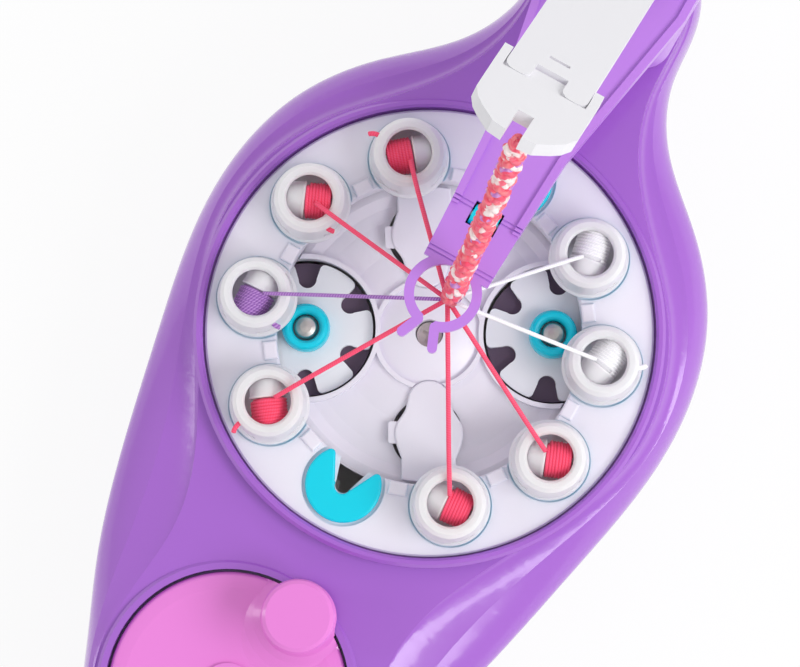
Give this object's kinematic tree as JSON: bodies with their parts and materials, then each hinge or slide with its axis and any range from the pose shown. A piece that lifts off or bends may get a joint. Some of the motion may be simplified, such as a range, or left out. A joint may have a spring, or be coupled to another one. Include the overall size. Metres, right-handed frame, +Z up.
{
  "type": "kumihimo braiding machine",
  "caption": "Crank-driven kumihimo braider: round deck of thread spools over star wheels, hook eye on an arm, hinged take-up lever and clip.",
  "frame": {"origin": "middle of the machine's footprint, on the surface it stands on", "axes": "+Z up, -Y towards the crank and the user, +X to the user's right"},
  "size_m": [0.1676, 0.3271, 0.2101],
  "materials": {
    "casing_purple": "glossy moulded ABS",
    "arm_purple": "satin moulded ABS",
    "deck_white": "satin white moulding",
    "star_white": "satin off-white moulding",
    "teal": "glossy teal moulding",
    "crank_pink": "glossy pink moulding",
    "lever_white": "matte white moulding",
    "dark_inner": "dark moulding",
    "inner_white": "acetal gears and frame",
    "steel": "plain steel",
    "foot_rubber": "soft rubber",
    "thread_pink": "twisted polyester thread",
    "thread_purple": "twisted polyester thread",
    "thread_white": "twisted polyester thread",
    "braid_thread": "round braid of eight threads"
  },
  "bodies": {
    "root": {"lower_shell": "casing_purple", "upper_shell": "casing_purple", "deck_ring": "deck_white", "chassis_plate": "inner_white", "ring_gear": "inner_white", "station_forks": "teal", "rubber_feet": "foot_rubber", "shell_screws": "steel", "chassis_screws": "steel", "braid_arm": "arm_purple", "mast_cover": "arm_purple", "mast_screws": "steel", "roller_bracket": "dark_inner", "roller_axle": "steel", "idler_axle": "steel", "rotor_screw": "steel", "lever_pin": "steel", "friction_washers": "inner_white", "spool_housing_1": "deck_white", "spool_housing_2": "deck_white", "spool_housing_3": "deck_white", "spool_housing_4": "deck_white", "spool_housing_5": "deck_white", "spool_housing_6": "deck_white", "spool_housing_7": "deck_white", "spool_housing_8": "deck_white", "threads_pink": "thread_pink", "threads_purple": "thread_purple", "threads_white": "thread_white", "braid": "braid_thread"},
    "rotor": {"rotor_gear": "inner_white", "rotor_floor": "deck_white", "gate_petals": "deck_white", "star_pin_left": "steel", "star_pin_right": "steel"},
    "star_left": {"star_wheel_left": "star_white", "planet_gear_left": "dark_inner", "collar_left": "teal"},
    "star_right": {"star_wheel_right": "star_white", "planet_gear_right": "dark_inner", "collar_right": "teal"},
    "crank": {"crank_disc": "crank_pink", "crank_shaft": "steel", "crank_gear": "inner_white", "crank_screw": "steel", "knob_pin": "steel"},
    "knob": {"crank_knob": "crank_pink"},
    "idler": {"idler_gear": "inner_white"},
    "roller": {"guide_roller": "teal"},
    "lever": {"take_up_lever": "lever_white", "braid_clip": "lever_white"},
    "bobbin_body_1": {"bobbin_1": "thread_pink"},
    "bobbin_body_2": {"bobbin_2": "thread_pink"},
    "bobbin_body_3": {"bobbin_3": "thread_purple"},
    "bobbin_body_4": {"bobbin_4": "thread_pink"},
    "bobbin_body_5": {"bobbin_5": "thread_pink"},
    "bobbin_body_6": {"bobbin_6": "thread_pink"},
    "bobbin_body_7": {"bobbin_7": "thread_white"},
    "bobbin_body_8": {"bobbin_8": "thread_white"}
  },
  "joints": [
    {"name": "rotor_spin", "type": "hinge", "parent": "root", "child": "rotor", "pos_m": [0, 0.0135, 0.035], "axis": [0, 0, 1], "continuous": true},
    {"name": "crank_spin", "type": "hinge", "parent": "root", "child": "crank", "pos_m": [0, -0.1155, 0.035], "axis": [0, 0, 1], "continuous": true},
    {"name": "idler_spin", "type": "hinge", "parent": "root", "child": "idler", "pos_m": [0, -0.0585, 0.035], "axis": [0, 0, 1], "continuous": true},
    {"name": "star_left_spin", "type": "hinge", "parent": "rotor", "child": "star_left", "pos_m": [-0.0349, -0.0039, 0.046], "axis": [0, 0, 1], "continuous": true},
    {"name": "star_right_spin", "type": "hinge", "parent": "rotor", "child": "star_right", "pos_m": [0.03411, 0.03241, 0.046], "axis": [0, 0, 1], "continuous": true},
    {"name": "knob_spin", "type": "hinge", "parent": "crank", "child": "knob", "pos_m": [0.00841, -0.08411, 0.07], "axis": [0, 0, 1], "continuous": true},
    {"name": "roller_spin", "type": "hinge", "parent": "root", "child": "roller", "pos_m": [0, 0.0475, 0.1104], "axis": [1, 0, 0], "continuous": true},
    {"name": "lever_lift", "type": "hinge", "parent": "root", "child": "lever", "pos_m": [0, 0.1455, 0.12], "axis": [-1, 0, 0], "range_deg": [-38, 44], "deforming": ["braid"]},
    {"name": "bobbin_1_spin", "type": "hinge", "parent": "root", "child": "bobbin_body_1", "pos_m": [-0.03233, 0.058, 0.0748], "axis": [-0.7771, -0.6293, 0], "continuous": true},
    {"name": "bobbin_2_spin", "type": "hinge", "parent": "root", "child": "bobbin_body_2", "pos_m": [-0.05231, 0.0305, 0.0748], "axis": [0.9205, 0.3907, 0], "continuous": true},
    {"name": "bobbin_3_spin", "type": "hinge", "parent": "root", "child": "bobbin_body_3", "pos_m": [-0.05231, -0.0035, 0.0748], "axis": [0.0349, -0.9994, 0], "continuous": true},
    {"name": "bobbin_4_spin", "type": "hinge", "parent": "root", "child": "bobbin_body_4", "pos_m": [-0.03233, -0.031, 0.0748], "axis": [0.5736, -0.8192, 0], "continuous": true},
    {"name": "bobbin_5_spin", "type": "hinge", "parent": "root", "child": "bobbin_body_5", "pos_m": [0.03233, -0.031, 0.0748], "axis": [0.9976, 0.0698, 0], "continuous": true},
    {"name": "bobbin_6_spin", "type": "hinge", "parent": "root", "child": "bobbin_body_6", "pos_m": [0.05231, -0.0035, 0.0748], "axis": [0.9336, 0.3584, 0], "continuous": true},
    {"name": "bobbin_7_spin", "type": "hinge", "parent": "root", "child": "bobbin_body_7", "pos_m": [0.05231, 0.0305, 0.0748], "axis": [0.1564, 0.9877, 0], "continuous": true},
    {"name": "bobbin_8_spin", "type": "hinge", "parent": "root", "child": "bobbin_body_8", "pos_m": [0.03233, 0.058, 0.0748], "axis": [-0.1908, 0.9816, 0], "continuous": true}
  ],
  "couplings": [
    {"joint": "crank_spin", "follows": "rotor_spin", "ratio": 1.5},
    {"joint": "idler_spin", "follows": "rotor_spin", "ratio": -1.6667},
    {"joint": "star_left_spin", "follows": "rotor_spin", "ratio": -3.3333},
    {"joint": "star_right_spin", "follows": "rotor_spin", "ratio": -3.3333}
  ]
}
